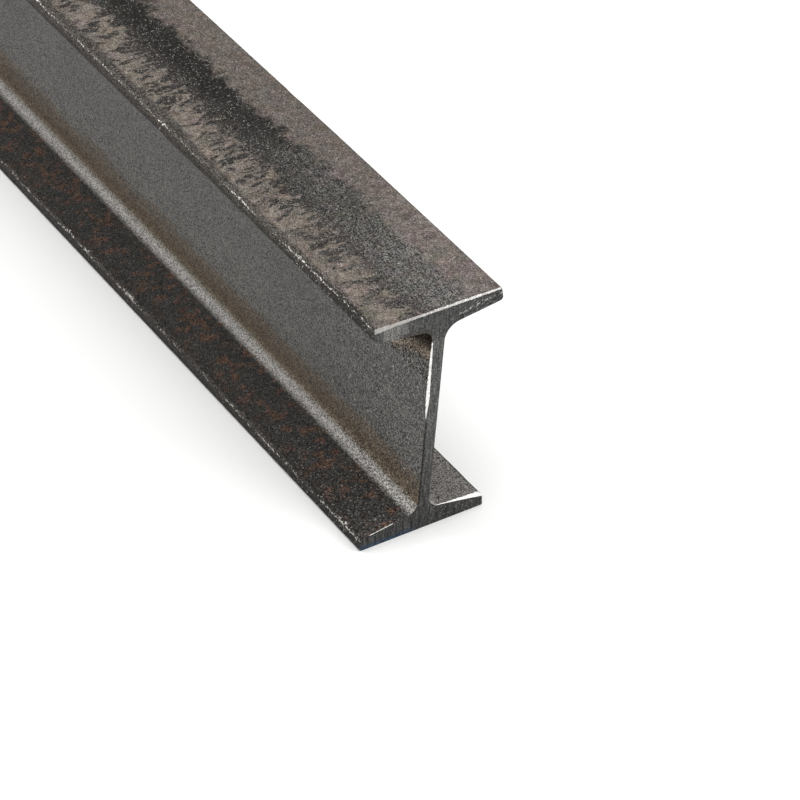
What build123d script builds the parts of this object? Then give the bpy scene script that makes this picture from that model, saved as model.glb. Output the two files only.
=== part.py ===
from build123d import *

import os

# Hot-rolled steel I-beam with tapered flanges, one rolled piece cut to a stock length.
# The bar lies along Y, its width along X, its depth along Z. It stands on its lower
# flange, and the origin is under the middle of that flange. All sizes are in millimetres.

# The rolled section. Its flanges taper, so their thickness is the one measured halfway
# between the middle of the web and the toe, as the section tables give it. The tables give
# a width of 42 mm, and this bar measures the 1.5 mm more that its tolerance allows.
beam_length = 1000.0
section_depth = 80.0
flange_width = 43.5
web_thickness = 3.9
flange_thickness = 5.9
flange_slope_share = 0.14
root_radius = 3.9
toe_radius = 2.3
rim_radius = 0.6

# The near end is sawn square, and a hand grinder has broken some of its edges. The upper
# edge has a narrow bevel from toe to toe.
top_bevel_drop = 0.6
top_bevel_reach = 0.6

# The web's left edge has a bevel that starts below the upper root and widens downwards to
# about the middle of the web, where the grinder was lifted off.
web_bevel_top = 69.0
web_bevel_bottom = 40.5
web_bevel_narrow = 0.2
web_bevel_wide = 0.65

# The lower flange's right half has a bevel on its inner edge that starts beside the root
# and opens to its full size at the toe.
wedge_start = 6.0
wedge_drop = 0.9
wedge_reach = 1.6

# A grinding cut reaches past the metal by this share of its own size.
overrun_share = 0.5

half_length = beam_length / 2
half_depth = section_depth / 2
half_width = flange_width / 2
half_web = web_thickness / 2
near_end = -half_length


def flange_thickness_at(across):
    """Thickness of a flange at a distance from the middle of the web, before its radii."""
    return flange_thickness + flange_slope_share * (half_width / 2 - across)


def ground_corner(plane, corner, leg_a, leg_b):
    """Sketch the triangle ground off a corner, whose two legs lie along its two faces."""
    corner, leg_a, leg_b = Vector(corner), Vector(leg_a), Vector(leg_b)
    with BuildSketch(plane) as triangle:
        with BuildLine():
            Polyline(
                corner + leg_a + (leg_a - leg_b) * overrun_share,
                corner + leg_b + (leg_b - leg_a) * overrun_share,
                corner - (leg_a + leg_b) * overrun_share,
                close=True,
            )
        make_face()
    return triangle.sketch


section_plane = Plane.XZ.shift_origin((0, 0, half_depth))

with BuildPart() as steel_i_beam:
    # One quarter of the outline runs from the middle of the web to the middle of the
    # flange: up the web, round the root, out along the tapered face and round the toe.
    with BuildSketch(section_plane) as section:
        with BuildLine() as outline:
            FilletPolyline(
                (half_web, 0),
                (half_web, half_depth - flange_thickness_at(half_web)),
                (half_width, half_depth - flange_thickness_at(half_width)),
                (half_width, half_depth),
                (0, half_depth),
                radius=(root_radius, toe_radius, rim_radius),
            )
            mirror(about=Plane.YZ)
            mirror(about=Plane.XZ)
        make_face()
    extrude(amount=half_length, both=True)

    # The bevel along the upper edge of the near end runs past both toes.
    top_bevel = [
        ground_corner(
            Plane.YZ.offset(across),
            (near_end, section_depth),
            (top_bevel_reach, 0),
            (0, -top_bevel_drop),
        )
        for across in (-half_width - rim_radius, half_width + rim_radius)
    ]
    loft(sections=top_bevel, mode=Mode.SUBTRACT)

    # The bevel on the web's left edge widens downwards.
    web_bevel = [
        ground_corner(Plane.XY.offset(height), (-half_web, near_end), (size, 0), (0, size))
        for height, size in (
            (web_bevel_top, web_bevel_narrow),
            (web_bevel_bottom, web_bevel_wide),
        )
    ]
    loft(sections=web_bevel, mode=Mode.SUBTRACT)

    # The bevel on the lower flange is a long wedge, a point at its start beside the root
    # and widest at the toe. It follows the slope of the flange's inner face.
    wedge_end = ground_corner(
        Plane.YZ.offset(half_width),
        (near_end, flange_thickness_at(half_width)),
        (wedge_reach, 0),
        (0, -wedge_drop),
    )
    wedge_tip = Vertex(wedge_start, near_end, flange_thickness_at(wedge_start))
    loft(sections=(wedge_end, wedge_tip), mode=Mode.SUBTRACT)

os.makedirs("parts", exist_ok=True)
steel_i_beam.part.label = "steel_i_beam"
export_step(steel_i_beam.part, "parts/steel_i_beam.step")
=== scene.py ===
# %% [markdown]
# # A hot-rolled steel I-beam
# This notebook dresses one real object: a short length of small I-beam, rolled from red-hot
# steel, cooled in the open air, then sawn to length. Its shape is simple, so nearly all of
# its character is in the skin: dark mill scale, tan rust that has crept in from one edge,
# worn corners, a sawn end, and a few bright places where a hand grinder took the burr off.
# The engineering model is loaded first. It fixes the place and size of everything below.

# %% Load the engineering model
import math
from functools import partial

import bpy
import numpy as np
from mathutils import Euler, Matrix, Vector, noise


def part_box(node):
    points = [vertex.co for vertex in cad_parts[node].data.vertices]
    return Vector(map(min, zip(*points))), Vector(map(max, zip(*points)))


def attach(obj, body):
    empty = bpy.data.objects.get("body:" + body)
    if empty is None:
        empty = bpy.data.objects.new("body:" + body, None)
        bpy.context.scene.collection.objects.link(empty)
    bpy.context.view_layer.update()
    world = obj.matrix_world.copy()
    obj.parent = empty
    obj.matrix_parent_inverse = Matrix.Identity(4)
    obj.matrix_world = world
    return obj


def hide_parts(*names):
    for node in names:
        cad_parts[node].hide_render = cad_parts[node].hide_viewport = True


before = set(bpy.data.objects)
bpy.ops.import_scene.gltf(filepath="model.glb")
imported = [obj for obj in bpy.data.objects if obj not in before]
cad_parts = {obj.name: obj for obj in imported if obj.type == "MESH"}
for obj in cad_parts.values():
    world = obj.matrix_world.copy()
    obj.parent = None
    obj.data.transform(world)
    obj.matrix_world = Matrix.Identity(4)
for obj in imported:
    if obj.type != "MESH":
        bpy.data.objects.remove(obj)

low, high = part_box("steel_i_beam")
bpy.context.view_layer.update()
print("the bar runs from", tuple(low), "to", tuple(high), "in metres")

# %% [markdown]
# ## Sizes of the rolled section
# Blender works in metres, but steel sections are ordered in millimetres, so lengths are kept
# in millimetres here and multiplied once, when a mesh is made. The depth, width and length
# are read from the engineering model. The web, the flange and the root radius are those of
# the standard section. Its flanges taper: they are thick at the web and thin at the toe.

# %% Name the sizes in millimetres
MM = 0.001
bar_length = (high.y - low.y) / MM
depth = (high.z - low.z) / MM
half_width = (high.x - low.x) / MM / 2
web_thickness = 3.9
half_web = web_thickness / 2
flange_thickness = 5.9
flange_slope = 0.14
root_radius = 3.9
near_end = low.y / MM


def thickness_at(across):
    """Thickness of a flange at a distance from the middle of the web."""
    return flange_thickness + flange_slope * (half_width / 2 - across)


print("section", round(2 * half_width, 1), "x", round(depth, 1), "mm, length", round(bar_length))

# %% [markdown]
# ## The outline of the section
# A rolled bar is one outline swept along a straight line. A curve with a bevel object would
# do that in one step, but then every part of the skin gets the same fineness. Here the
# outline is a list of points built one by one, so that points crowd together at the toes and
# the roots, where light bends, and stay apart on the flats.
#
# Each corner is a sharp point with a radius. One function turns it into an arc between the
# two tangent points. Each piece of the outline also gets a number for its finish: the outer
# face of a flange, a toe, or the channel between the flanges.

# %% Round one corner
FACE, TOE, CHANNEL = 0, 1, 2


def rounded(before, corner, after, radius, steps):
    """Points of the arc that rounds a corner, from one tangent point to the other."""
    corner = Vector(corner)
    to_before = (Vector(before) - corner).normalized()
    to_after = (Vector(after) - corner).normalized()
    half_angle = to_before.angle(to_after) / 2
    middle = (to_before + to_after).normalized()
    centre = corner + middle * (radius / math.sin(half_angle))
    start = corner + to_before * (radius / math.tan(half_angle)) - centre
    end = corner + to_after * (radius / math.tan(half_angle)) - centre
    turn = start.angle(end)
    shares = [step / steps for step in range(steps + 1)]
    mixed = [start * math.sin((1 - s) * turn) + end * math.sin(s * turn) for s in shares]
    return [centre + point / math.sin(turn) for point in mixed]


print("half way round a square corner:", rounded((1, 0), (0, 0), (0, 1), 1, 2)[1])

# %% [markdown]
# Rolls wear, so a real bar departs from the drawing by some tenths of a millimetre. On this
# one the toes lean: an upper toe is drawn in at its outer rim, and a lower toe at its inner
# edge. The rims have radii of their own. The upper right root is fuller than the others, and
# the web gets slightly thicker up to it.

# %% List the twelve corners
RIGHT, LEFT = 1, -1
toe_leans = {(RIGHT, "up"): 0.95, (LEFT, "up"): 0.75, (RIGHT, "low"): 0.5, (LEFT, "low"): 0.4}
rim_radii = {(RIGHT, "up"): 0.5, (LEFT, "up"): 0.5, (RIGHT, "low"): 0.4, (LEFT, "low"): 0.8}
worn_toe_radius = 1.1
full_root_radius, full_root_shift = 5.4, 0.4
rim_steps, toe_steps, root_steps = 4, 6, 8
toe_thickness = thickness_at(half_width)
root_thickness = thickness_at(half_web)


def quarter(side, level):
    """The three corners of one quarter of the section, from the outer rim to the root."""
    upper = level == "up"
    lean = toe_leans[side, level]
    at_rim, at_inner_edge = (lean, 0) if upper else (0, lean)
    heights = [0, toe_thickness, root_thickness]
    if upper:
        heights = [depth - height for height in heights]
    root_x, radius = half_web, root_radius
    if upper and side == RIGHT:
        root_x, radius = half_web + full_root_shift, full_root_radius
    return [
        ((side * (half_width - at_rim), heights[0]), rim_radii[side, level], rim_steps, TOE),
        ((side * (half_width - at_inner_edge), heights[1]), worn_toe_radius, toe_steps, TOE),
        ((side * root_x, heights[2]), radius, root_steps, CHANNEL),
    ]


corners = [
    *quarter(RIGHT, "low"),
    *reversed(quarter(RIGHT, "up")),
    *quarter(LEFT, "up"),
    *reversed(quarter(LEFT, "low")),
]
print(len(corners), "corners, anticlockwise as seen from the near end")

# %% [markdown]
# The straight runs between the arcs are cut up too. `spacing` is about the length of a step
# on a flat. A short step is kept next to each arc, so that smooth shading of the arc does
# not smear out over the flat beside it.

# %% Walk round the outline
margin = 0.3
shortest_run = 0.75


def straight(start, end, spacing):
    """Points between two tangent points, close together at both ends."""
    length = (end - start).length
    if length < shortest_run:
        return []
    inner = max(1, round((length - 2 * margin) / spacing))
    places = [margin + (length - 2 * margin) * step / inner for step in range(inner + 1)]
    return [start.lerp(end, place / length) for place in places]


def outline(spacing):
    """All points of the section and, for each, the finish of the strip that starts there."""
    count = len(corners)
    arcs = []
    for n, (corner, radius, steps, _) in enumerate(corners):
        before, after = corners[n - 1][0], corners[(n + 1) % count][0]
        arcs.append(rounded(before, corner, after, radius, steps))
    points, finishes = [], []
    for n, arc in enumerate(arcs):
        (_, height), _, _, finish = corners[n]
        (_, next_height), _, _, next_finish = corners[(n + 1) % count]
        run_finish = finish if finish == next_finish else CHANNEL
        # Only an outer face runs between two corners at one height.
        if height == next_height:
            run_finish = FACE
        run = straight(arc[-1], arcs[(n + 1) % count][0], spacing)
        points += arc + run
        finishes += [finish] * (len(arc) - 1) + [run_finish] * (len(run) + 1)
    return np.array(points), np.array(finishes)


coarse, coarse_finish = outline(spacing=7.0)
fine, fine_finish = outline(spacing=0.4)
print(len(coarse), "points along the bar,", len(fine), "points beside the cut")

# %% [markdown]
# ## Stations along the bar
# The first few millimetres carry the ground bevels. They are about a millimetre wide, so the
# outline is repeated there every tenth of a millimetre. Further along, the toes only have
# small nicks, and a step of nearly two millimetres is fine enough.

# %% Choose the stations
bevel_zone, bevel_step = 2.4, 0.1
bar_step = 1.85
near_stations = np.arange(0, bevel_zone + bevel_step / 2, bevel_step)
bar_stations = np.linspace(bevel_zone, bar_length, round(bar_length / bar_step))[1:]
print(len(near_stations), "close stations and", len(bar_stations), "along the bar")

# %% [markdown]
# ## Nicks and waves of a rolled edge
# No rolled bar is a perfect prism. The toes have been banged on rollers, chains and other
# bars, and their corners are slightly ragged. Perlin noise, which Blender has built in,
# gives smooth random waves: two sizes of it make the raggedness, and rare dents are places
# where a third one passes a threshold. The waves are longer across the toe than along it.

# %% Wear the edges
toe_band = 5.0
fine_wave, coarse_wave, dent_wave = 1.6, 7.0, 11.0
fine_wear, coarse_wear, dent_wear = 0.07, 0.05, 0.75
dent_threshold, dent_shift = 0.42, Vector((31, 7, 3))
longer_across = 3.0


def wear(x, z, along):
    """How far in millimetres a point near a toe has been worn inwards."""
    beside_toe = 1 - min(1, (half_width - abs(x)) / toe_band)
    if beside_toe <= 0:
        return 0.0
    place = Vector((x / longer_across, along, z / longer_across))
    small = 0.5 + 0.5 * noise.noise(place / fine_wave)
    large = 0.5 + 0.5 * noise.noise(place / coarse_wave)
    dent = max(0, noise.noise(place / dent_wave + dent_shift) - dent_threshold)
    return beside_toe**2 * (fine_wear * small + coarse_wear * large + dent_wear * dent)


deepest = max(wear(half_width, toe_thickness, along) for along in range(round(bar_length)))
print("deepest nick at the lower right toe:", round(deepest, 2), "mm")

# %% [markdown]
# The wear goes into the metal, at right angles to the surface. One more change goes the
# other way. The left upper toe stands nearly straight in the last few millimetres before the
# cut, and the right one leans most at the cut and less further back, so their rims move out
# there. They stay within the width of the bar, which never grows.

# %% Move a ring of points
left_flare, flare_length = 0.7, 6.0
right_change, change_length = 0.65, 85.0


def inward(points):
    """For each outline point, the unit direction into the metal."""
    ahead, behind = np.roll(points, -1, axis=0), np.roll(points, 1, axis=0)
    run = ahead - behind
    normal = np.stack([-run[:, 1], run[:, 0]], axis=1)
    return normal / np.linalg.norm(normal, axis=1)[:, None]


def upright(x, z, along):
    """How far an upper rim stands outwards of its lean, at a distance from the near end."""
    if z < depth - toe_thickness:
        return 0.0
    beside_toe = 1 - min(1, (half_width - abs(x)) / toe_band)
    rise = (z - depth + toe_thickness) / toe_thickness
    less_lean = left_flare * max(0, 1 - along / flare_length)
    if x > 0:
        less_lean = right_change * min(1, along / change_length)
    return less_lean * rise * beside_toe


def ring(points, along):
    """One copy of the outline, worn, at a distance from the near end."""
    worn = [wear(x, z, along) for x, z in points]
    moved = points + inward(points) * np.array(worn)[:, None]
    return [(x + math.copysign(upright(x, z, along), x), along, z) for x, z in moved]


print("the first point of the section at the cut:", ring(coarse, 0)[0])

# %% [markdown]
# ## Bevels from the hand grinder
# At the near end the grinder has taken the burr off four edges: the whole upper edge, part
# of the web's left edge, the inner edge of the lower right flange, and a short thin line on
# the lower left flange. Each bevel is a slanted plane. A vertex that sticks out past it is
# moved back onto it, and the faces whose vertices all lie on it are bare ground steel.
# The plane wavers a little, because a hand held the machine.
#
# The bevel along the upper edge widens quickly near the left toe.

# %% The bevel along the upper edge
top_bevel, wider_left = 0.52, 0.6
waver, waver_length, waver_seed = 0.16, 0.9, 3.7
touching = 1e-6


def wavering(value):
    """A small random change of a bevel's size along its edge."""
    return waver * noise.noise(Vector((value / waver_length, waver_seed, 0.0)))


def grind_top(x, along, z):
    """Lower a vertex onto the upper bevel, and tell whether it lies there."""
    to_left = max(0, -x / half_width)
    size = top_bevel + wider_left * to_left**3 + wavering(x)
    limit = depth - size + along
    return (x, along, min(z, limit)), z > limit - touching


print("the upper bevel is", top_bevel, "to", round(top_bevel + wider_left, 2), "mm wide")

# %% [markdown]
# The bevel on the web starts thin below the upper root and widens downwards. Over its last
# few millimetres it runs out to a point, where the grinder was lifted off.

# %% The bevel on the web
web_bevel_top, web_bevel_bottom = 69.0, 40.5
web_bevel_narrow, web_bevel_wide = 0.3, 1.0
web_bevel_point = 8.0
beside_web = 3.0


def grind_web(x, along, z):
    """Push a vertex of the web's left side onto its bevel, and tell whether it lies there."""
    if not (web_bevel_bottom <= z <= web_bevel_top and -beside_web < x < 0):
        return (x, along, z), False
    share = (web_bevel_top - z) / (web_bevel_top - web_bevel_bottom)
    size = web_bevel_narrow + (web_bevel_wide - web_bevel_narrow) * share + wavering(z)
    size *= min(1, (z - web_bevel_bottom) / web_bevel_point)
    limit = -half_web + size - along
    return (max(x, limit), along, z), x < limit + touching


print("the web's bevel is", web_bevel_top - web_bevel_bottom, "mm long")

# %% [markdown]
# The bevel on the lower right flange is a wedge. It starts beside the root as a thin line
# and opens more and more towards the toe. The one on the left is a thin line all along.

# %% The wedge and the line on the lower flange
wedge_start, wedge_drop, wedge_reach = 4.0, 0.9, 1.6
wedge_thin, wedge_curve = 0.12, 1.4
line_start, line_end, line_size = 10.2, 18.6, 0.2


def grind_flange(x, along, z):
    """Lower a vertex of the lower flange onto its bevel, and tell whether it lies there."""
    surface = thickness_at(abs(x))
    drop = reach = 0.0
    if x > wedge_start and z < depth / 2:
        share = (x - wedge_start) / (half_width - wedge_start)
        opened = share**wedge_curve
        drop = wedge_thin + wedge_drop * opened
        reach = wedge_thin + wedge_reach * opened + wavering(x)
    if -line_end < x < -line_start and z < depth / 2:
        drop = reach = line_size
    if reach <= 0 or along > reach:
        return (x, along, z), False
    limit = surface - drop * (1 - along / reach)
    return (x, along, min(z, limit)), z > limit - touching


print("the wedge reaches", round(wedge_thin + wedge_reach, 2), "mm along the toe")

# %% [markdown]
# Each vertex beside the cut goes past all three grinders, and it is remembered whether one
# of them left it on its plane.


# %% Grind every vertex of a ring
def grind(vertex):
    """Apply the bevels in turn and tell whether the vertex ended on one of them."""
    touched = False
    for tool in (grind_top, grind_web, grind_flange):
        vertex, on_plane = tool(*vertex)
        touched = touched or on_plane
    return vertex, touched


print("the middle of the upper edge is ground down to", grind((0.0, 0.0, depth))[0])

# %% [markdown]
# ## Weaving the skin
# Rings of vertices are joined by four-sided faces. Where the fine rings beside the cut meet
# the coarse ones along the bar, one long face takes in several fine points, so there is no
# crack. Both ends are closed by one flat face each.

# %% Join the rings beside the cut
vertices, on_bevel, faces = [], [], []


def join_rings(first, second, finishes):
    """Quads between two rings that have the same number of points."""
    count = len(first)
    quads = []
    for n in range(count):
        m = (n + 1) % count
        quads.append(((first[n], first[m], second[m], second[n]), int(finishes[n])))
    return quads


def add_ring(points):
    """Store a ring of vertices and give back their numbers."""
    start = len(vertices)
    vertices.extend(point for point, _ in points)
    on_bevel.extend(touched for _, touched in points)
    return list(range(start, len(vertices)))


close_rings = [add_ring([grind(v) for v in ring(fine, y)]) for y in near_stations]
for first, second in zip(close_rings, close_rings[1:]):
    faces += join_rings(first, second, fine_finish)
print(len(faces), "faces beside the cut")

# %% [markdown]
# The coarse outline's points are all found among the fine ones, or lie very near one, so
# the step from fine to coarse needs only a list of which fine point is nearest.

# %% Step down to the coarse rings
# The last number is for the channel's matte copy, which carries painted shade.
GROUND, SAWN, PAINTED_SHADE = 3, 4, 5
far_rings = [add_ring([(v, False) for v in ring(coarse, y)]) for y in bar_stations]
nearest = [int(np.argmin(np.linalg.norm(fine - point, axis=1))) for point in coarse]
last_close = close_rings[-1]
for n in range(len(coarse)):
    m = (n + 1) % len(coarse)
    start, end = nearest[n], nearest[m]
    steps = (end - start) % len(fine)
    side = [last_close[(start + step) % len(fine)] for step in range(steps + 1)]
    faces.append(((*side, far_rings[0][m], far_rings[0][n]), int(coarse_finish[n])))
for first, second in zip(far_rings, far_rings[1:]):
    faces += join_rings(first, second, coarse_finish)
faces.append((tuple(reversed(close_rings[0])), SAWN))
faces.append((tuple(far_rings[-1]), SAWN))
print(len(vertices), "vertices and", len(faces), "faces in all")

# %% [markdown]
# Each face now gets its finish. A face that lies wholly on a bevel is ground steel, and the
# upper part of the channel has a finish of its own, which is explained with the materials.
# Shading is smooth, except over an edge that turns by more than about thirty degrees.

# %% Turn the lists into a Blender mesh
# Channel faces above this height get the matte copy of the channel finish, which carries painted
# shade.
painted_shade_bottom = 54.0
sharpest_smooth_edge = 32


def finish_of(face, finish):
    """The finish of a face, from its strip, its vertices and its height."""
    if len(face) == 4 and all(on_bevel[v] for v in face):
        return GROUND
    if finish == CHANNEL and min(vertices[v][2] for v in face) > painted_shade_bottom:
        return PAINTED_SHADE
    return finish


skin = bpy.data.meshes.new("rolled_beam")
places = [(x * MM, (near_end + y) * MM, z * MM) for x, y, z in vertices]
skin.from_pydata(places, [], [face for face, _ in faces])
for polygon, (face, finish) in zip(skin.polygons, faces):
    polygon.material_index = finish_of(face, finish)
    polygon.use_smooth = True
skin.set_sharp_from_angle(angle=math.radians(sharpest_smooth_edge))
skin.validate()
beam = bpy.data.objects.new("rolled_beam", skin)
bpy.context.scene.collection.objects.link(beam)
triangles = sum(len(polygon.vertices) - 2 for polygon in skin.polygons)
print("the skin has", triangles, "triangles")

# %% [markdown]
# ## Nodes without clutter
# Every material below is a tree of shader nodes. One small function adds a node, sets its
# options, and fills its inputs with plain values or links. It returns the node's first
# output, which is what the next node usually needs. An input is named as Blender names it,
# with an underscore for each space. The words in capitals are options that come back often.

# %% Helpers for colours and nodes
PLUS, MINUS, TIMES = ({"operation": name} for name in ("ADD", "SUBTRACT", "MULTIPLY"))
LARGER, SIZE = {"operation": "MAXIMUM"}, {"operation": "ABSOLUTE"}
EASED = {"interpolation_type": "SMOOTHSTEP"}
FUSED = {"operation": "MULTIPLY_ADD"}
PAINT = {"data_type": "RGBA"}
STAIN = {"data_type": "RGBA", "blend_type": "MULTIPLY"}


def linear(code):
    """Turn an sRGB hex colour into the linear values that a shader needs."""
    shares = [int(code[n : n + 2], 16) / 255 for n in (1, 3, 5)]
    bent = [s / 12.92 if s <= 0.04045 else ((s + 0.055) / 1.055) ** 2.4 for s in shares]
    return (*bent, 1.0)


def add_node(tree, kind, settings, **inputs):
    """Add one node with its settings, and give its inputs values or links."""
    node = tree.nodes.new("ShaderNode" + kind)
    for name, value in settings.items():
        setattr(node, name, value)
    for name, value in inputs.items():
        names = {name, name.replace("_", " ")}
        socket = next(s for s in node.inputs if s.enabled and names & {s.identifier, s.name})
        if isinstance(value, bpy.types.NodeSocket):
            tree.links.new(value, socket)
        else:
            socket.default_value = value
    return next((s for s in node.outputs if s.enabled), None)


def new_material(name):
    """An empty material, a function that adds nodes to it, and each point's place in mm."""
    material = bpy.data.materials.new(name)
    material.use_nodes = True
    material.node_tree.nodes.clear()
    add = partial(add_node, material.node_tree)
    point = add("TexCoord", {}).node.outputs["Object"]
    place = add("VectorMath", TIMES, Vector=point, Vector_001=(1 / MM, 1 / MM, 1 / MM))
    return material, add, place


print("tan rust in linear light:", [round(v, 3) for v in linear("#756D65")])

# %% [markdown]
# ## Crystals and grit
# Scale and rust are both made of small crystals and pits, which read as a salt-and-pepper
# grain. A Voronoi texture gives each crystal its own random grey, and a soft noise lets
# groups of crystals drift lighter and darker. Real crystals are a few hundredths of a
# millimetre, too fine to show, so they are drawn at 0.3 mm, a little under a pixel of the
# picture. A few crystals glint, and small pits are dark.

# %% Grain in millimetres
crystal_size, cluster_size, pit_size = 0.3, 1.1, 0.6
cluster_share = 0.15
pit_colour, glint_colour = linear("#201C1A"), linear("#B4B1AB")


def crystals(add, place):
    """A grey that jumps from crystal to crystal and drifts from cluster to cluster."""
    cells = add("TexVoronoi", {}, Vector=place, Scale=1 / crystal_size).node.outputs["Color"]
    cells = add("SeparateColor", {}, Color=cells)
    cells = add("MapRange", {}, Value=cells, From_Min=0.38, From_Max=0.62)
    clusters = add("TexNoise", {}, Vector=place, Scale=1 / cluster_size, Detail=3.0, Roughness=0.7)
    clusters = add("MapRange", {}, Value=clusters, From_Min=0.32, From_Max=0.68)
    return add("Mix", {}, Factor_Float=cluster_share, A_Float=cells, B_Float=clusters)


def peppered(add, place, colour, grey, strength, glints=0.0, pits=0.0):
    """Darken and lighten a colour crystal by crystal, with rare dark pits and glints."""
    factor = add("MapRange", {}, Value=grey, To_Min=-1.0, To_Max=1.0)
    factor = add("Math", FUSED, Value=factor, Value_001=strength, Value_002=1.0)
    colour = add("Mix", STAIN, Factor_Float=1.0, A_Color=colour, B_Color=factor)
    shifted = add("VectorMath", PLUS, Vector=place, Vector_001=(17.0, 5.0, 9.0))
    holes = add("TexNoise", {}, Vector=shifted, Scale=1 / pit_size, Detail=2.0)
    holes = add("MapRange", EASED, Value=holes, From_Min=0.56, From_Max=0.68, To_Max=pits)
    colour = add("Mix", PAINT, Factor_Float=holes, A_Color=colour, B_Color=pit_colour)
    spots = add("TexVoronoi", {}, Vector=shifted, Scale=1 / crystal_size).node.outputs["Color"]
    spots = add("MapRange", EASED, Value=spots, From_Min=0.8, From_Max=0.92, To_Max=glints)
    return add("Mix", PAINT, Factor_Float=spots, A_Color=colour, B_Color=glint_colour)


print("a crystal is drawn", crystal_size, "mm wide and a pit", pit_size, "mm")

# %% [markdown]
# Some things change along the bar. Beside the cut the grain is crisp, and the web and the
# toes are a little darker. Further back both fade. One function gives a value that falls off
# with the distance from the cut.


# %% Fade away from the cut
def near_the_cut(add, along, fades_out, at_cut):
    """A value that falls from the cut to zero at a distance in millimetres."""
    ends = {"From_Min": near_end + fades_out, "From_Max": near_end + fades_out / 4}
    return add("MapRange", EASED, Value=along, To_Max=at_cut, **ends)


print("the cut is at", round(near_end), "mm")

# %% [markdown]
# ## Finishing an oxide skin
# All the rolled surfaces share the same last step. Iron oxide isn't a metal to the eye: it
# is a dull dark crust with a weak gloss, so metallic stays at zero and the specular level is
# low. The crystals also give the bump, with a height of a few hundredths of a millimetre, or
# a tenth on the rough scale between the flanges.


# %% Close a material with an oxide shader
def oxide(add, colour, height, roughness, gloss, relief=0.04):
    """A rough, dull crust with its colour and a fine relief in millimetres."""
    bump = add("Bump", {}, Strength=1.0, Distance=relief * MM, Height=height)
    shader = add("BsdfPrincipled", {}, Base_Color=colour, Roughness=roughness, Normal=bump)
    shader.node.inputs["Specular IOR Level"].default_value = gloss
    add("OutputMaterial", {}, Surface=shader)


# %% [markdown]
# ## Mill scale with rust bloom
# The outer face of each flange has the bar's most striking finish. Where one toe stayed
# damp, tan rust has crept inward in forking fingers, like frost on a window. A noise
# stretched across the flange has long hills and valleys, and the line where it passes
# through its middle value runs round each of them. Drawn with some width, those lines are
# thin forking fingers with long dark cells between them. A second noise bends them, so none
# is straight. They get thinner away from the toe.


# %% Draw the fingers of rust
def rust_fingers(add, place, along, from_toe, spacing, length, seed, thick, thin):
    """A mask of forking lines that get thinner with the distance from the toe."""
    bends = add("TexNoise", {}, Vector=place, Scale=1 / 5.0, Detail=3.0).node.outputs["Color"]
    centred = add("VectorMath", MINUS, Vector=bends, Vector_001=(0.5, 0.5, 0.5))
    squeezed = add("Math", TIMES, Value=along, Value_001=1 / spacing)
    stretched = add("Math", TIMES, Value=from_toe, Value_001=1 / length)
    flat = add("CombineXYZ", {}, X=squeezed, Y=stretched, Z=seed)
    bent = add("VectorMath", FUSED, Vector=centred, Vector_001=(1.3, 0.4, 0.0), Vector_002=flat)
    hills = add("TexNoise", {}, Vector=bent, Scale=1.0, Detail=1.5, Roughness=0.4)
    off_middle = add("Math", SIZE, Value=add("Math", MINUS, Value=hills, Value_001=0.5))
    widths = {"To_Min": thick, "To_Max": thin}
    width = add("MapRange", {}, Value=from_toe, From_Min=2.0, From_Max=15.0, **widths)
    ragged = add("TexNoise", {}, Vector=place, Scale=1 / 1.1, Detail=3.0)
    width = add("Math", FUSED, Value=ragged, Value_001=0.08, Value_002=width)
    inside = add("Math", MINUS, Value=width, Value_001=off_middle)
    return add("MapRange", EASED, Value=inside, From_Max=0.04)


# %% [markdown]
# Near the toe the fingers merge into one band, and along the other toe the rust is an even
# pinkish bloom with a ragged inner edge. Both are noise with a threshold that slides with
# the distance from the toe, so that islands and bays appear at the border.


# %% Draw a bloom with a ragged border
def bloom(add, place, from_toe, border, softness, size, faint, full):
    """A mask that is full on the far side of a border and breaks up near it."""
    blots = add("TexNoise", {}, Vector=place, Scale=1 / size, Detail=4.0, Roughness=0.6)
    ends = {"From_Min": border, "From_Max": border + softness}
    slide = add("MapRange", {"clamp": False}, Value=from_toe, **ends)
    level = add("Math", PLUS, Value=blots, Value_001=slide)
    return add("MapRange", EASED, Value=level, From_Min=faint, From_Max=full)


# %% [markdown]
# Under the rust lies the scale, with fine lines drawn out along the bar by the rolls. It is
# paler near the cut and gets darker further back. Among the fingers it is nearly even
# and dark all along.


# %% Lay down the scale
def rolled_scale(add, place, from_toe, away, deeper, grey):
    """Dark scale with roll lines, paler near the cut."""
    drawn_out = add("VectorMath", TIMES, Vector=place, Vector_001=(1 / 0.35, 1 / 7.0, 1.0))
    lines = add("TexNoise", {}, Vector=drawn_out, Scale=1.0, Detail=2.0)
    lines = add("MapRange", {}, Value=lines, From_Min=0.3, From_Max=0.7)
    deep = {"A_Color": linear("#302E2C"), "B_Color": linear("#4B4946")}
    deep = add("Mix", PAINT, Factor_Float=lines, **deep)
    worn = {"A_Color": linear("#353331"), "B_Color": linear("#64625F")}
    worn = add("Mix", PAINT, Factor_Float=lines, **worn)
    paler = add("MapRange", EASED, Value=away, From_Min=near_end + 95, From_Max=near_end + 35)
    deep = add("Mix", PAINT, Factor_Float=deeper, A_Color=deep, B_Color=linear("#1D1C1A"))
    dark = add("Mix", PAINT, Factor_Float=paler, A_Color=deep, B_Color=worn)
    shade = {"A_Color": linear("#33302E"), "B_Color": linear("#3C3937")}
    shade = add("Mix", PAINT, Factor_Float=paler, **shade)
    among = add("MapRange", EASED, Value=from_toe, From_Min=21.0, From_Max=14.0, To_Max=0.9)
    dark = add("Mix", PAINT, Factor_Float=among, A_Color=dark, B_Color=shade)
    sparkle = add("MapRange", {}, Value=grey, To_Min=0.5, To_Max=1.5)
    return add("Mix", STAIN, Factor_Float=1.0, A_Color=dark, B_Color=sparkle)


# %% [markdown]
# The rust at the damp toe is made of long fingers, short ones between them, and the band.
# The fingers end about fifteen millimetres in. The rim itself has been knocked nearly clean,
# with a nibbled border that is wider further back.


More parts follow.
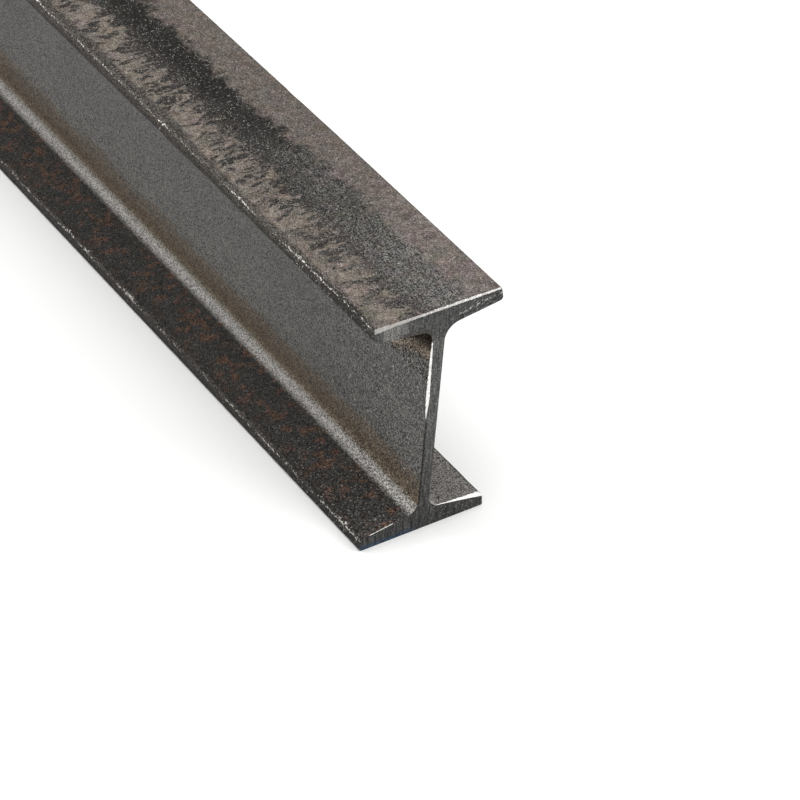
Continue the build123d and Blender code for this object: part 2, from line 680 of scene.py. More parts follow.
# %% Put the rust at the damp toe
def rust_at_damp_toe(add, place, along, from_toe, deeper):
    """A mask of fingers and band, with the rim nibbled clear."""
    across = (add, place, along, from_toe)
    long_ones = rust_fingers(*across, spacing=5.0, length=16.0, seed=0.0, thick=0.07, thin=0.018)
    short_ones = rust_fingers(*across, spacing=2.8, length=10.0, seed=5.0, thick=0.05, thin=0.0)
    short_ones = add("Math", TIMES, Value=short_ones, Value_001=0.7)
    fingers = add("Math", LARGER, Value=long_ones, Value_001=short_ones)
    tips = add("TexNoise", {}, Vector=place, Scale=1 / 4.0, Detail=2.0)
    reach = add("Math", FUSED, Value=tips, Value_001=-14.0, Value_002=from_toe)
    within = add("MapRange", EASED, Value=reach, From_Min=8.5, From_Max=6.0)
    fingers = add("Math", TIMES, Value=fingers, Value_001=within)
    band = bloom(add, place, from_toe, border=3.5, softness=-8.0, size=2.6, faint=0.5, full=0.7)
    rust = add("Math", LARGER, Value=fingers, Value_001=band)
    nibbled = add("TexNoise", {}, Vector=place, Scale=1 / 4.0, Detail=3.0)
    nibbled = add("Math", FUSED, Value=nibbled, Value_001=-3.5, Value_002=from_toe)
    nibbled = add("Math", FUSED, Value=deeper, Value_001=-1.8, Value_002=nibbled)
    clear = add("MapRange", EASED, Value=nibbled, From_Min=-1.5, From_Max=0.8, To_Min=0.15)
    return add("Math", TIMES, Value=rust, Value_001=clear)


# %% [markdown]
# The whole finish is painted in that order: scale, tan rust on the left, pinkish bloom on
# the right. Two more noises vary it, one in brightness, and one a little in hue, because
# rust has passed through several colours as it aged. The pepper comes last.


# %% Make the finish of the outer faces
def mill_scale_with_bloom():
    """Scale on the outer face of a flange, with fingers and a bloom of rust."""
    material, add, place = new_material("mill_scale_with_rust_bloom")
    axes = add("SeparateXYZ", {}, Vector=place).node.outputs
    along = axes["Y"]
    left_toe = half_width - toe_leans[LEFT, "up"]
    from_toe = add("Math", PLUS, Value=axes["X"], Value_001=left_toe)
    drift = add("TexNoise", {}, Vector=place, Scale=1 / 14.0)
    away = add("Math", FUSED, Value=drift, Value_001=60.0, Value_002=along)
    deeper = add("MapRange", EASED, Value=away, From_Min=near_end + 90, From_Max=near_end + 150)
    grey = crystals(add, place)

    tone = add("TexNoise", {}, Vector=place, Scale=1 / 2.2, Detail=3.0, Roughness=0.6)
    tone = add("MapRange", {}, Value=tone, From_Min=0.3, From_Max=0.7)
    tan = {"A_Color": linear("#756D65"), "B_Color": linear("#5C544D")}
    tan = add("Mix", PAINT, Factor_Float=tone, **tan)
    pink = {"A_Color": linear("#716964"), "B_Color": linear("#544C48")}
    pink = add("Mix", PAINT, Factor_Float=tone, **pink)
    ends = {"From_Min": near_end + 70, "From_Max": near_end + 110}
    duller = add("MapRange", EASED, Value=away, To_Max=0.7, **ends)
    pink = add("Mix", PAINT, Factor_Float=duller, A_Color=pink, B_Color=linear("#554E49"))

    colour = rolled_scale(add, place, from_toe, away, deeper, grey)
    left = rust_at_damp_toe(add, place, along, from_toe, deeper)
    colour = add("Mix", PAINT, Factor_Float=left, A_Color=colour, B_Color=tan)
    across = add("Math", FUSED, Value=deeper, Value_001=2.0, Value_002=from_toe)
    right = bloom(add, place, across, border=30.0, softness=15.0, size=3.0, faint=0.36, full=0.72)
    colour = add("Mix", PAINT, Factor_Float=right, A_Color=colour, B_Color=pink)

    lumps = add("TexNoise", {}, Vector=place, Scale=1 / 3.0, Detail=3.0, Roughness=0.6)
    lumps = add("MapRange", {}, Value=lumps, From_Min=0.3, From_Max=0.7, To_Min=0.8, To_Max=1.2)
    colour = add("Mix", STAIN, Factor_Float=1.0, A_Color=colour, B_Color=lumps)
    hue = add("TexNoise", {}, Vector=place, Scale=1 / 5.0, Detail=1.0).node.outputs["Color"]
    tints = {"To_Min_FLOAT3": (0.86, 0.93, 0.86), "To_Max_FLOAT3": (1.14, 1.07, 1.14)}
    hue = add("MapRange", {"data_type": "FLOAT_VECTOR"}, Vector=hue, **tints)
    colour = add("Mix", STAIN, Factor_Float=1.0, A_Color=colour, B_Color=hue)
    colour = peppered(add, place, colour, grey, strength=0.45, glints=0.5, pits=0.45)
    oxide(add, colour, grey, roughness=0.65, gloss=0.1)
    return material


bloomed_scale = mill_scale_with_bloom()
print("made", bloomed_scale.name, "with", len(bloomed_scale.node_tree.nodes), "nodes")

# %% [markdown]
# ## Scale in the channel
# The web and the inner faces of the flanges were shielded from the weather. The web is an
# even mid grey with a fine grain, a little darker near the cut, and paler lower down, which
# is painted light against the shade that the lower flange casts there. Low down, where
# water stood, it turns ochre brown above the root. A noise with bays in it bends the
# border of the ochre.


# %% Colour the web
def web_colour(add, place, axes):
    """Mid grey with slow clouds, and ochre with a ragged border low down."""
    cloud = add("TexNoise", {}, Vector=place, Scale=1 / 22.0, Detail=2.0)
    greys = {"A_Color": linear("#555350"), "B_Color": linear("#4A4947")}
    web = add("Mix", PAINT, Factor_Float=cloud, **greys)
    # Painted light: the web is painted paler lower down, against the shade cast by the lower
    # flange.
    painted_light_low = add("MapRange", {}, Value=axes["Z"], From_Min=45.0, From_Max=22.0, To_Max=0.6)
    web = add("Mix", PAINT, Factor_Float=painted_light_low, A_Color=web, B_Color=linear("#676663"))
    near = near_the_cut(add, axes["Y"], 110.0, 0.6)
    web = add("Mix", PAINT, Factor_Float=near, A_Color=web, B_Color=linear("#484745"))
    stain = add("TexNoise", {}, Vector=place, Scale=1 / 2.5, Detail=2.0)
    browns = {"A_Color": linear("#64523E"), "B_Color": linear("#454038")}
    ochre = add("Mix", PAINT, Factor_Float=stain, **browns)
    bays = add("TexNoise", {}, Vector=place, Scale=1 / 13.0, Detail=4.0, Roughness=0.6)
    bays = add("Math", FUSED, Value=bays, Value_001=9.0, Value_002=axes["Z"])
    border = add("MapRange", EASED, Value=bays, From_Min=25.9, From_Max=24.3, To_Max=0.45)
    below = add("MapRange", {}, Value=bays, From_Min=25.2, From_Max=17.5, To_Max=0.47)
    stained = add("Math", PLUS, Value=border, Value_001=below)
    return add("Mix", PAINT, Factor_Float=stained, A_Color=web, B_Color=ochre)


# %% [markdown]
# High up, the corner under the flange is painted nearly black as shade, and the painted
# shade has a brown edge. Both are limits on a height that wanders, and that counts as higher
# behind the cut, so the painted shade reaches further down there.


# %% Measure the height of the painted shade under the upper flange
def shade_height(add, place, axes):
    """A height in millimetres that wanders, and that grows over the first stretch."""
    wander = add("TexNoise", {}, Vector=place, Scale=1 / 8.0, Detail=3.0)
    height = add("Math", FUSED, Value=wander, Value_001=6.0, Value_002=axes["Z"])
    first_stretch = {"From_Min": near_end, "From_Max": near_end + 25}
    behind = add("MapRange", {}, Value=axes["Y"], To_Max=9.0, **first_stretch)
    return add("Math", PLUS, Value=height, Value_001=behind)


# %% [markdown]
# The lower root has a silvery band of painted highlight, where the rounded root faces the
# light from behind on the left, with a drab brown edge above it. The lower flange is nearly
# black on the left, with patches of dull red, and drab grey-brown on the right.


# %% Colour the lower root and the lower flange
def root_painted_highlight(add, place, axes, colour, grey, strong):
    """Drab brown below the web, brightening into a silvery painted highlight below that."""
    brown = add("MapRange", EASED, Value=axes["Z"], From_Min=12.5, From_Max=10.0, To_Max=0.7)
    drab = peppered(add, place, linear("#6E6454"), grey, strong)
    colour = add("Mix", PAINT, Factor_Float=brown, A_Color=colour, B_Color=drab)
    softer = add("Math", TIMES, Value=strong, Value_001=0.7)
    # Painted highlight: the silvery colour along the rounded lower root.
    painted_highlight = peppered(add, place, linear("#979490"), grey, softer)
    paler = add("MapRange", EASED, Value=axes["Z"], From_Min=10.6, From_Max=7.4)
    return add("Mix", PAINT, Factor_Float=paler, A_Color=colour, B_Color=painted_highlight), paler


def lower_flange(add, place, out, on_right):
    """Nearly black with dull red patches on the left, and drab grey-brown on the right."""
    patches = add("TexNoise", {}, Vector=place, Scale=1 / 3.5, Detail=3.0)
    patches = add("MapRange", EASED, Value=patches, From_Min=0.5, From_Max=0.62)
    shades = {"A_Color": linear("#353432"), "B_Color": linear("#533E33")}
    black = add("Mix", PAINT, Factor_Float=patches, **shades)
    at_toe = add("MapRange", EASED, Value=out, From_Min=16.0, From_Max=19.5, To_Max=0.6)
    black = add("Mix", PAINT, Factor_Float=at_toe, A_Color=black, B_Color=linear("#2C2825"))
    return add("Mix", PAINT, Factor_Float=on_right, A_Color=black, B_Color=linear("#6F6B67"))


# %% [markdown]
# The grain is crisp beside the cut and calmer on the right of the web. Beside the cut there
# is a coarser grain on top of it, nearly half a millimetre wide. The upper part of the
# channel, where shade is painted nearly black, gets a second copy of this finish without
# gloss: with a gloss, that painted shade would catch a bright line. The copy has a small
# painted sheen in place of the gloss, so that no seam shows between the two.

# %% Make the channel finish
coarse_crystal_size = 0.45


def channel_scale(name, gloss, painted_sheen):
    """Scale between the flanges, from the painted shade beneath the upper one to the lower flange.
    """
    material, add, place = new_material(name)
    axes = add("SeparateXYZ", {}, Vector=place).node.outputs
    out = add("Math", SIZE, Value=axes["X"])
    grey = crystals(add, place)
    on_right = add("MapRange", {}, Value=axes["X"], From_Min=-0.1, From_Max=0.1)
    calmer = add("MapRange", {}, Value=on_right, To_Min=1.0, To_Max=0.35)
    crisp = add("Math", TIMES, Value=near_the_cut(add, axes["Y"], 70.0, 1.0), Value_001=calmer)
    strong = add("MapRange", {}, Value=crisp, To_Min=0.8, To_Max=1.0)
    glints = add("MapRange", {}, Value=crisp, To_Min=0.3, To_Max=0.6)

    colour = web_colour(add, place, axes)
    shade_level = shade_height(add, place, axes)
    # Painted shade below the upper flange: a brown edge, then nearly black above it.
    edge = add("MapRange", EASED, Value=shade_level, From_Min=64.2, From_Max=67.2, To_Max=0.95)
    colour = add("Mix", PAINT, Factor_Float=edge, A_Color=colour, B_Color=linear("#665B4F"))
    colour = peppered(add, place, colour, grey, strong, glints)
    # Painted sheen: a fixed grey added in place of the gloss that the matte copy leaves out.
    colour = add("VectorMath", PLUS, Vector=colour, Vector_001=(painted_sheen, painted_sheen, painted_sheen))
    # The nearly black part of the painted shade, strongest in the corner by the web.
    painted_shade = add("MapRange", EASED, Value=shade_level, From_Min=67.6, From_Max=72.6, To_Max=0.9)
    shares = {"To_Min": 1.0, "To_Max": 0.25}
    in_corner = add("MapRange", EASED, Value=out, From_Min=5.0, From_Max=11.0, **shares)
    painted_shade = add("Math", TIMES, Value=painted_shade, Value_001=in_corner)
    colour = add("Mix", PAINT, Factor_Float=painted_shade, A_Color=colour, B_Color=linear("#15110D"))

    colour, paler = root_painted_highlight(add, place, axes, colour, grey, strong)
    lower = lower_flange(add, place, out, on_right)
    lower = peppered(add, place, lower, grey, strong, glints, pits=0.4)
    flat = add("MapRange", EASED, Value=out, From_Min=3.7, From_Max=5.9)
    below = add("MapRange", {}, Value=axes["Z"], From_Min=14.0, From_Max=12.0)
    flat = add("Math", TIMES, Value=flat, Value_001=below)
    colour = add("Mix", PAINT, Factor_Float=flat, A_Color=colour, B_Color=lower)

    cells = add("TexVoronoi", {}, Vector=place, Scale=1 / coarse_crystal_size)
    cells = add("SeparateColor", {}, Color=cells.node.outputs["Color"])
    cells = add("MapRange", {}, Value=cells, To_Min=-0.7, To_Max=0.7)
    # The grain is calmer on the painted highlight.
    smoother = add("MapRange", {}, Value=paler, To_Min=1.0, To_Max=0.5)
    smoother = add("Math", TIMES, Value=smoother, Value_001=crisp)
    cells = add("Math", FUSED, Value=cells, Value_001=smoother, Value_002=1.0)
    colour = add("Mix", STAIN, Factor_Float=1.0, A_Color=colour, B_Color=cells)
    oxide(add, colour, grey, roughness=0.46, gloss=gloss, relief=0.1)
    return material


channel = channel_scale("mill_scale_in_channel", gloss=0.3, painted_sheen=0.0)
painted_shade_corner = channel_scale("painted_shade_under_upper_flange", gloss=0.0, painted_sheen=0.022)
print("made", channel.name, "with", len(channel.node_tree.nodes), "nodes, and its matte copy")

# %% [markdown]
# ## Worn toes
# The toe of a flange is the part that everything knocks against. Its face is brown-black
# with blotches, darker on the lower flange and beside the cut, and darker towards its lower
# edge, where shade is painted. A narrow strip along its upper edge is lighter, like the face
# of the flange that it turns into.


# %% Darken the toe
def toe_base(add, along, drawn_out, on_top, below_edge):
    """Blotchy brown-black, with a lighter strip along the upper edge."""
    tone = add("TexNoise", {}, Vector=drawn_out, Scale=1.0, Detail=4.0, Roughness=0.65)
    blotches = add("MapRange", EASED, Value=tone, From_Min=0.35, From_Max=0.65)
    shades = {"A_Color": linear("#14110E"), "B_Color": linear("#4A423C")}
    base = add("Mix", PAINT, Factor_Float=blotches, **shades)
    strip = add("MapRange", EASED, Value=below_edge, From_Min=1.0, From_Max=0.5)
    base = add("Mix", PAINT, Factor_Float=strip, A_Color=base, B_Color=linear("#4B4641"))
    lower_toe = add("MapRange", {}, Value=on_top, From_Min=1.0, From_Max=0.0, To_Max=0.55)
    base = add("Mix", PAINT, Factor_Float=lower_toe, A_Color=base, B_Color=linear("#1B1917"))
    # Painted shade: the toe darkens towards its lower edge.
    under = add("MapRange", EASED, Value=below_edge, From_Min=1.3, From_Max=3.5, To_Max=0.8)
    base = add("Mix", PAINT, Factor_Float=under, A_Color=base, B_Color=linear("#171412"))
    fresh = near_the_cut(add, along, 60.0, 0.65)
    return add("Mix", PAINT, Factor_Float=fresh, A_Color=base, B_Color=linear("#100D0B"))


# %% [markdown]
# The toe has been worn back to grey metal near its upper edge, in a broken line that swings
# up and down. Its near-white colour is that worn metal with a painted highlight on it, where
# the rounded rim faces the light from behind on the left. Three values are added up, and only
# where the sum is high does the metal show: the closeness to the line, a slow noise that makes
# whole stretches more or less worn, and a fine noise that breaks the line into specks.


# %% Rub the toe bare along a line
def worn_line_and_painted_highlight(add, place, along, drawn_out, below_edge):
    """A mask of specks along a line below the upper edge of the toe."""
    swing = add("TexNoise", {}, Vector=place, Scale=1 / 6.0, Detail=3.0)
    swing = add("Math", FUSED, Value=swing, Value_001=1.3, Value_002=below_edge)
    ends = {"From_Min": near_end + 50, "From_Max": near_end + 110}
    centre = add("MapRange", EASED, Value=along, To_Min=1.6, To_Max=1.3, **ends)
    off_line = add("Math", SIZE, Value=add("Math", MINUS, Value=swing, Value_001=centre))
    level = add("MapRange", {}, Value=off_line, From_Max=0.7, To_Min=0.2, To_Max=0.0)
    patchy = add("TexNoise", {}, Vector=place, Scale=1 / 12.0, Detail=2.0)
    level = add("Math", FUSED, Value=patchy, Value_001=0.5, Value_002=level)
    ends = {"From_Min": near_end + 80, "From_Max": near_end + 30}
    nearby = add("MapRange", EASED, Value=along, To_Max=0.05, **ends)
    level = add("Math", PLUS, Value=level, Value_001=nearby)
    specks = add("VectorMath", PLUS, Vector=drawn_out, Vector_001=(3.0, 11.0, 7.0))
    specks = add("TexNoise", {}, Vector=specks, Scale=1.0, Detail=3.0, Roughness=0.6)
    level = add("Math", PLUS, Value=level, Value_001=specks)
    return add("MapRange", EASED, Value=level, From_Min=0.965, From_Max=1.04)


# %% [markdown]
# Both patterns go by the distance below the toe's upper edge. On the upper flange that edge
# is the outer rim, and on the lower flange it is the inner edge, at the height of the toe.


# %% Make the toe finish
def worn_toe():
    """Brown-black scale on the toes, with a broken line of bare metal."""
    material, add, place = new_material("mill_scale_worn_at_toe")
    axes = add("SeparateXYZ", {}, Vector=place).node.outputs
    along = axes["Y"]
    drawn_out = add("VectorMath", TIMES, Vector=place, Vector_001=(1 / 0.45, 1 / 1.0, 1 / 0.45))
    middle = add("Math", MINUS, Value=axes["Z"], Value_001=depth / 2)
    on_top = add("MapRange", {}, Value=middle, From_Min=-1.0, From_Max=1.0)
    upper_toe = add("Math", MINUS, Value=depth, Value_001=axes["Z"])
    lower_toe = add("Math", MINUS, Value=toe_thickness, Value_001=axes["Z"])
    below_edge = add("Mix", {}, Factor_Float=on_top, A_Float=lower_toe, B_Float=upper_toe)

    colour = toe_base(add, along, drawn_out, on_top, below_edge)
    worn = worn_line_and_painted_highlight(add, place, along, drawn_out, below_edge)
    less_below = add("MapRange", {}, Value=on_top, To_Min=0.6, To_Max=0.9)
    worn = add("Math", TIMES, Value=worn, Value_001=less_below)
    # Worn metal with a painted highlight: the near-white colour of the line.
    colour = add("Mix", PAINT, Factor_Float=worn, A_Color=colour, B_Color=linear("#C9C5BE"))
    grey = crystals(add, place)
    glints = add("Math", PLUS, Value=near_the_cut(add, along, 90.0, 0.4), Value_001=0.15)
    colour = peppered(add, place, colour, grey, 0.9, glints)
    oxide(add, colour, grey, roughness=0.5, gloss=0.15, relief=0.06)
    return material


toe = worn_toe()
print("made", toe.name, "with", len(toe.node_tree.nodes), "nodes")

# %% [markdown]
# ## The sawn face
# The saw leaves a flat grey face with fine lines that run up and down. The cut ran hot at
# its end, so the lower flange is darker, with a faint blue heat tint along its lower edge.
# The upper flange is darker too, from the middle to the right. A thin film of oxide has
# formed on the cut since, so it isn't shiny bare metal any more.


# %% Colour the cut
def cut_colour(add, axes, lines):
    """Grey with the lines of the saw, darker towards the lower flange."""
    upper = {"A_Color": linear("#393938"), "B_Color": linear("#5B5A58")}
    upper = add("Mix", PAINT, Factor_Float=lines, **upper)
    lower = {"A_Color": linear("#121211"), "B_Color": linear("#424140")}
    lower = add("Mix", PAINT, Factor_Float=lines, **lower)
    fall = add("MapRange", EASED, Value=axes["Z"], From_Min=45.0, From_Max=4.0)
    colour = add("Mix", PAINT, Factor_Float=fall, A_Color=upper, B_Color=lower)
    edge = add("MapRange", EASED, Value=axes["Z"], From_Min=2.2, From_Max=0.4)
    side = add("MapRange", EASED, Value=axes["X"], From_Min=0.0, From_Max=-6.0)
    tint = add("Math", TIMES, Value=edge, Value_001=side)
    colour = add("Mix", PAINT, Factor_Float=tint, A_Color=colour, B_Color=linear("#22374B"))
    on_flange = add("MapRange", EASED, Value=axes["Z"], From_Min=68.0, From_Max=73.0, To_Max=0.95)
    past_left = add("MapRange", EASED, Value=axes["X"], From_Min=-14.0, From_Max=-6.0)
    on_flange = add("Math", TIMES, Value=on_flange, Value_001=past_left)
    darker = {"A_Color": linear("#262626"), "B_Color": linear("#4A4A49")}
    darker = add("Mix", PAINT, Factor_Float=lines, **darker)
    return add("Mix", PAINT, Factor_Float=on_flange, A_Color=colour, B_Color=darker)


# %% [markdown]
# On the left of the upper flange the cut has a brighter patch, with the saw's lines in it,
# and it ends in a dark tip. Along the lower edge of that half runs a brown fringe, as if the
# saw had dragged some scale over the edge.

# %% Brighten the left of the upper flange and fringe its edge
under_flange = depth - thickness_at(0)


def bright_patch(add, axes, lines, colour):
    """A pale patch with the saw's lines in it, and a dark tip beside it."""
    high_up = add("MapRange", EASED, Value=axes["Z"], From_Min=73.0, From_Max=75.5, To_Max=0.6)
    tip = add("MapRange", {}, Value=axes["X"], From_Min=-18.4, From_Max=-18.9, To_Max=0.5)
    tip = add("Math", TIMES, Value=tip, Value_001=high_up)
    colour = add("Mix", PAINT, Factor_Float=tip, A_Color=colour, B_Color=linear("#222222"))
    bright = add("MapRange", {}, Value=axes["X"], From_Min=-18.9, From_Max=-18.4)
    fades_right = add("MapRange", EASED, Value=axes["X"], From_Min=-9.0, From_Max=-15.0)
    streaky = add("MapRange", {}, Value=lines, To_Min=0.45, To_Max=1.2)
    for limit in (fades_right, high_up, streaky):
        bright = add("Math", TIMES, Value=bright, Value_001=limit)
    return add("Mix", PAINT, Factor_Float=bright, A_Color=colour, B_Color=linear("#817F7C"))


def brown_fringe(add, axes, out, colour):
    """A thin brown strip along the inner edge of the upper flange's left half."""
    slanted = add("Math", FUSED, Value=out, Value_001=-flange_slope, Value_002=axes["Z"])
    ends = {"From_Min": under_flange + 1.6, "From_Max": under_flange + 0.6}
    fringe = add("MapRange", EASED, Value=slanted, To_Max=0.7, **ends)
    left_of_web = add("MapRange", EASED, Value=axes["X"], From_Min=-2.0, From_Max=-4.0)
    not_tip = add("MapRange", EASED, Value=axes["X"], From_Min=-15.0, From_Max=-11.0)
    at_top = add("MapRange", {}, Value=axes["Z"], From_Min=70.0, From_Max=71.0)
    for limit in (left_of_web, not_tip, at_top):
        fringe = add("Math", TIMES, Value=fringe, Value_001=limit)
    return add("Mix", PAINT, Factor_Float=fringe, A_Color=colour, B_Color=linear("#332D28"))


# %% [markdown]
# The right half of the upper flange has a broken dark streak that follows its slope, with a
# row of bright chips above it. Below the ground bevel, the web's left edge has a nearly black
# line of painted shadow.


# %% Add the streak, the chips and the painted shadow on the web's edge
def streak_and_chips(add, place, axes, colour):
    """A dark broken streak and a row of bright specks, both on the flange's slope."""
    slanted = add("Math", FUSED, Value=axes["X"], Value_001=-flange_slope, Value_002=axes["Z"])
    right_half = add("MapRange", EASED, Value=axes["X"], From_Min=4.0, From_Max=9.0)
    from_streak = add("Math", MINUS, Value=slanted, Value_001=under_flange + 1.5)
    from_streak = add("Math", SIZE, Value=from_streak)
    streak = add("MapRange", EASED, Value=from_streak, From_Min=1.0, From_Max=0.3, To_Max=0.9)
    broken = add("TexNoise", {}, Vector=place, Scale=1 / 1.5, Detail=3.0)
    broken = add("MapRange", EASED, Value=broken, From_Min=0.38, From_Max=0.56)
    for limit in (right_half, broken):
        streak = add("Math", TIMES, Value=streak, Value_001=limit)
    colour = add("Mix", PAINT, Factor_Float=streak, A_Color=colour, B_Color=linear("#1F1F20"))
    from_row = add("Math", MINUS, Value=slanted, Value_001=under_flange + 2.6)
    from_row = add("Math", SIZE, Value=from_row)
    row = add("MapRange", EASED, Value=from_row, From_Min=0.7, From_Max=0.2, To_Max=0.9)
    chips = add("TexNoise", {}, Vector=place, Scale=1 / 0.7, Detail=2.0)
    chips = add("MapRange", EASED, Value=chips, From_Min=0.55, From_Max=0.63)
    for limit in (chips, right_half):
        row = add("Math", TIMES, Value=row, Value_001=limit)
    return add("Mix", PAINT, Factor_Float=row, A_Color=colour, B_Color=linear("#C4C3C0"))


def web_edge_painted_shadow(add, axes, colour):
    """A line of painted shadow on the left edge of the web, from its bevel down to the root."""
    ends = {"From_Min": web_bevel_bottom, "From_Max": web_bevel_bottom - 1.0}
    dark = add("MapRange", {}, Value=axes["Z"], **ends)
    above_root = add("MapRange", EASED, Value=axes["Z"], From_Min=7.0, From_Max=10.0)
    ends = {"From_Min": -half_web + 0.8, "From_Max": -half_web + 0.6}
    at_edge = add("MapRange", {}, Value=axes["X"], **ends)
    ends = {"From_Min": -half_web - 0.2, "From_Max": -half_web - 0.1}
    inside = add("MapRange", {}, Value=axes["X"], **ends)
    for limit in (above_root, at_edge, inside):
        dark = add("Math", TIMES, Value=dark, Value_001=limit)
    # The near-black line is painted shadow.
    return add("Mix", PAINT, Factor_Float=dark, A_Color=colour, B_Color=linear("#0E0C0B"))


# %% [markdown]
# The lines of the saw are a noise that is drawn out over the height, with lines about half a
# millimetre apart. Together with the crystals they also give the cut its relief. The same
# finish is used on the far end.


# %% Make the sawn face
def sawn_steel():
    """Sawn steel under a thin film of oxide, with fine lines and marks of the saw."""
    material, add, place = new_material("sawn_steel_film_of_oxide")
    axes = add("SeparateXYZ", {}, Vector=place).node.outputs
    out = add("Math", SIZE, Value=axes["X"])
    drawn_out = add("VectorMath", TIMES, Vector=place, Vector_001=(1 / 0.45, 1.0, 1 / 6.0))
    lines = add("TexNoise", {}, Vector=drawn_out, Scale=1.0, Detail=3.0)
    lines = add("MapRange", EASED, Value=lines, From_Min=0.36, From_Max=0.64)
    colour = cut_colour(add, axes, lines)
    colour = bright_patch(add, axes, lines, colour)
    colour = brown_fringe(add, axes, out, colour)
    colour = streak_and_chips(add, place, axes, colour)
    colour = web_edge_painted_shadow(add, axes, colour)

    grey = crystals(add, place)
    ends = {"From_Min": 2.0, "From_Max": 8.0}
    glints = add("MapRange", EASED, Value=axes["X"], To_Min=0.2, To_Max=0.5, **ends)
    colour = peppered(add, place, colour, grey, 0.6, glints, pits=0.1)
    relief = add("Math", PLUS, Value=lines, Value_001=grey)
    oxide(add, colour, relief, roughness=0.5, gloss=0.2, relief=0.03)
    return material


sawn = sawn_steel()
print("made", sawn.name, "with", len(sawn.node_tree.nodes), "nodes")

# %% [markdown]
# ## Ground bevels
# The grinder leaves bare bright metal, scratched across the edge. It is a true metal, so
# metallic is one, and the colour is the colour of its reflection. The scratches are drawn
# 0.3 mm apart, coarser than real ones, to show at all. The upper edge is duller than the
# others, and most so on the left, as when a thin film of oxide has come back.

# %% Make the ground steel
scratch_spacing = 0.3
scratch_relief = 0.05


def ground_steel():
    """Bare ground steel with scratches, duller along the upper edge."""
    material, add, place = new_material("ground_bare_steel")
    scratches = add("TexNoise", {}, Vector=place, Scale=1 / scratch_spacing, Detail=2.0)
    scratches = add("MapRange", EASED, Value=scratches, From_Min=0.35, From_Max=0.65)
    axes = add("SeparateXYZ", {}, Vector=place).node.outputs
    on_top = add("MapRange", {}, Value=axes["Z"], From_Min=depth - 4, From_Max=depth - 3)
    grooves = {"A_Color": linear("#D2D0CD"), "B_Color": linear("#989693")}
    groove = add("Mix", PAINT, Factor_Float=on_top, **grooves)
    colour = add("Mix", PAINT, Factor_Float=scratches, A_Color=groove, B_Color=linear("#FFFEFC"))
    ends = {"From_Min": 12.0, "From_Max": -14.0}
    dulled = add("MapRange", {}, Value=axes["X"], To_Min=0.25, To_Max=0.85, **ends)
    dulled = add("Math", TIMES, Value=dulled, Value_001=on_top)
    colour = add("Mix", PAINT, Factor_Float=dulled, A_Color=colour, B_Color=linear("#8C8984"))
    bump = add("Bump", {}, Strength=1.0, Distance=scratch_relief * MM, Height=scratches)
    shader = add("BsdfPrincipled", {}, Base_Color=colour, Metallic=1.0, Roughness=0.42, Normal=bump)
    add("OutputMaterial", {}, Surface=shader)
    return material


# The order is that of the numbers FACE, TOE, CHANNEL, GROUND and SAWN, then the channel's matte
# copy that carries painted shade.
for material in (bloomed_scale, toe, channel, ground_steel(), sawn, painted_shade_corner):
    skin.materials.append(material)
print("finishes on the skin:", [material.name for material in skin.materials])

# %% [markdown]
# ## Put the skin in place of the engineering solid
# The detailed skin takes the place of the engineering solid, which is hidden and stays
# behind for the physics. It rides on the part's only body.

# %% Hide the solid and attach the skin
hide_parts("steel_i_beam")
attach(beam, "root")
print(beam.name, "stands in for steel_i_beam")

# %% [markdown]
# ## Studio
# The bar stands on a pale floor under soft light. The camera looks down on the near end
# from the front left with a long lens, so the bar keeps nearly parallel edges. Its place is
# measured from the middle of the near end.

# %% Camera
camera_place = (-425.2, -560.0, 563.8)
look_azimuth, look_elevation, camera_roll = 36.46, -38.39, 4.71
lens_mm, sensor_mm = 142.7, 36.0

camera = bpy.data.objects.new("camera", bpy.data.cameras.new("camera"))
camera.data.lens = lens_mm
camera.data.sensor_width = sensor_mm
camera.data.clip_start, camera.data.clip_end = 0.01, 100.0
end_middle = Vector((0.0, near_end, depth / 2))
camera.location = (end_middle + Vector(camera_place)) * MM
turned = Euler((math.radians(90 + look_elevation), 0.0, math.radians(-look_azimuth)), "XYZ")
rolled = turned.to_matrix() @ Euler((0.0, 0.0, math.radians(camera_roll)), "XYZ").to_matrix()
camera.rotation_euler = rolled.to_euler()
bpy.context.scene.collection.objects.link(camera)
bpy.context.scene.camera = camera
print("camera at", tuple(round(v, 3) for v in camera.location))

# %% [markdown]
# The floor is one large square, a tenth of a millimetre below the bar, so that the two don't
# lie in one plane and flicker. Nearly white and rough, it shows little but the soft shadow.

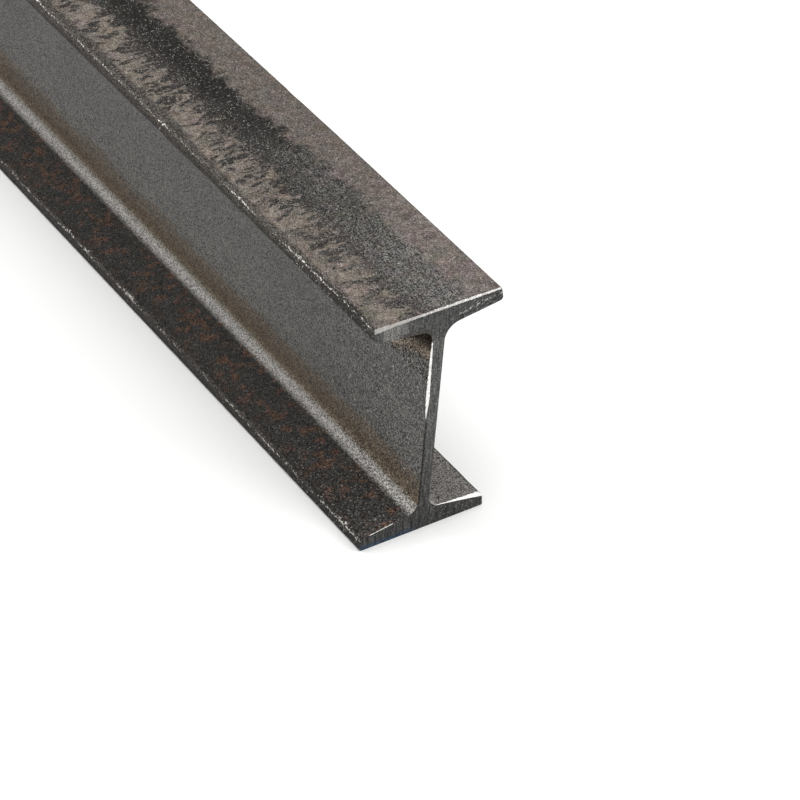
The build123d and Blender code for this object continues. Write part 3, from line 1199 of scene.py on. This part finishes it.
# %% Floor
floor_reach, floor_drop = 6.0, 0.0001


def make_floor():
    """A pale matte square under the bar, sizes in metres."""
    mesh = bpy.data.meshes.new("floor")
    sides = [(-1, -1), (1, -1), (1, 1), (-1, 1)]
    square = [(x * floor_reach, y * floor_reach, -floor_drop) for x, y in sides]
    mesh.from_pydata(square, [], [(0, 1, 2, 3)])
    material = bpy.data.materials.new("pale_floor")
    material.use_nodes = True
    shader = material.node_tree.nodes["Principled BSDF"]
    shader.inputs["Base Color"].default_value = linear("#F9F9F8")
    shader.inputs["Roughness"].default_value = 0.9
    mesh.materials.append(material)
    floor = bpy.data.objects.new("floor", mesh)
    bpy.context.scene.collection.objects.link(floor)
    return floor


print("the floor is", tuple(make_floor().dimensions[:2]), "metres")

# %% [markdown]
# Four square softboxes light the bar: the strongest overhead, one behind on the left, whose
# light glances off the web towards the camera, and two in front on the right for the cut.
# An even white sky fills the rest.

# %% Lights
sky_strength = 0.55


def softbox(name, place, target, size, power):
    """A square area light that faces a target, with its size in metres and power in watts."""
    lamp = bpy.data.lights.new(name, "AREA")
    lamp.shape = "SQUARE"
    lamp.size = size
    lamp.energy = power
    light = bpy.data.objects.new(name, lamp)
    light.location = place
    light.rotation_euler = (Vector(target) - Vector(place)).to_track_quat("-Z", "Y").to_euler()
    bpy.context.scene.collection.objects.link(light)


near_half, near_face = (0.0, -0.3, 0.0), (0.0, -0.5, 0.0)
softbox("overhead", (-0.2, -0.2, 2.2), near_half, size=1.8, power=31.0)
softbox("back_left", (-1.6, 1.2, 1.3), near_half, size=1.0, power=22.0)
softbox("front_right", (1.5, -2.0, 1.5), near_half, size=1.2, power=18.0)
softbox("above_right", (1.2, -1.0, 2.2), near_face, size=0.9, power=10.0)

world = bpy.data.worlds.new("studio")
world.use_nodes = True
background = world.node_tree.nodes["Background"]
background.inputs["Color"].default_value = (1.0, 1.0, 1.0, 1.0)
background.inputs["Strength"].default_value = sky_strength
bpy.context.scene.world = world
bpy.context.scene.view_settings.view_transform = "Standard"
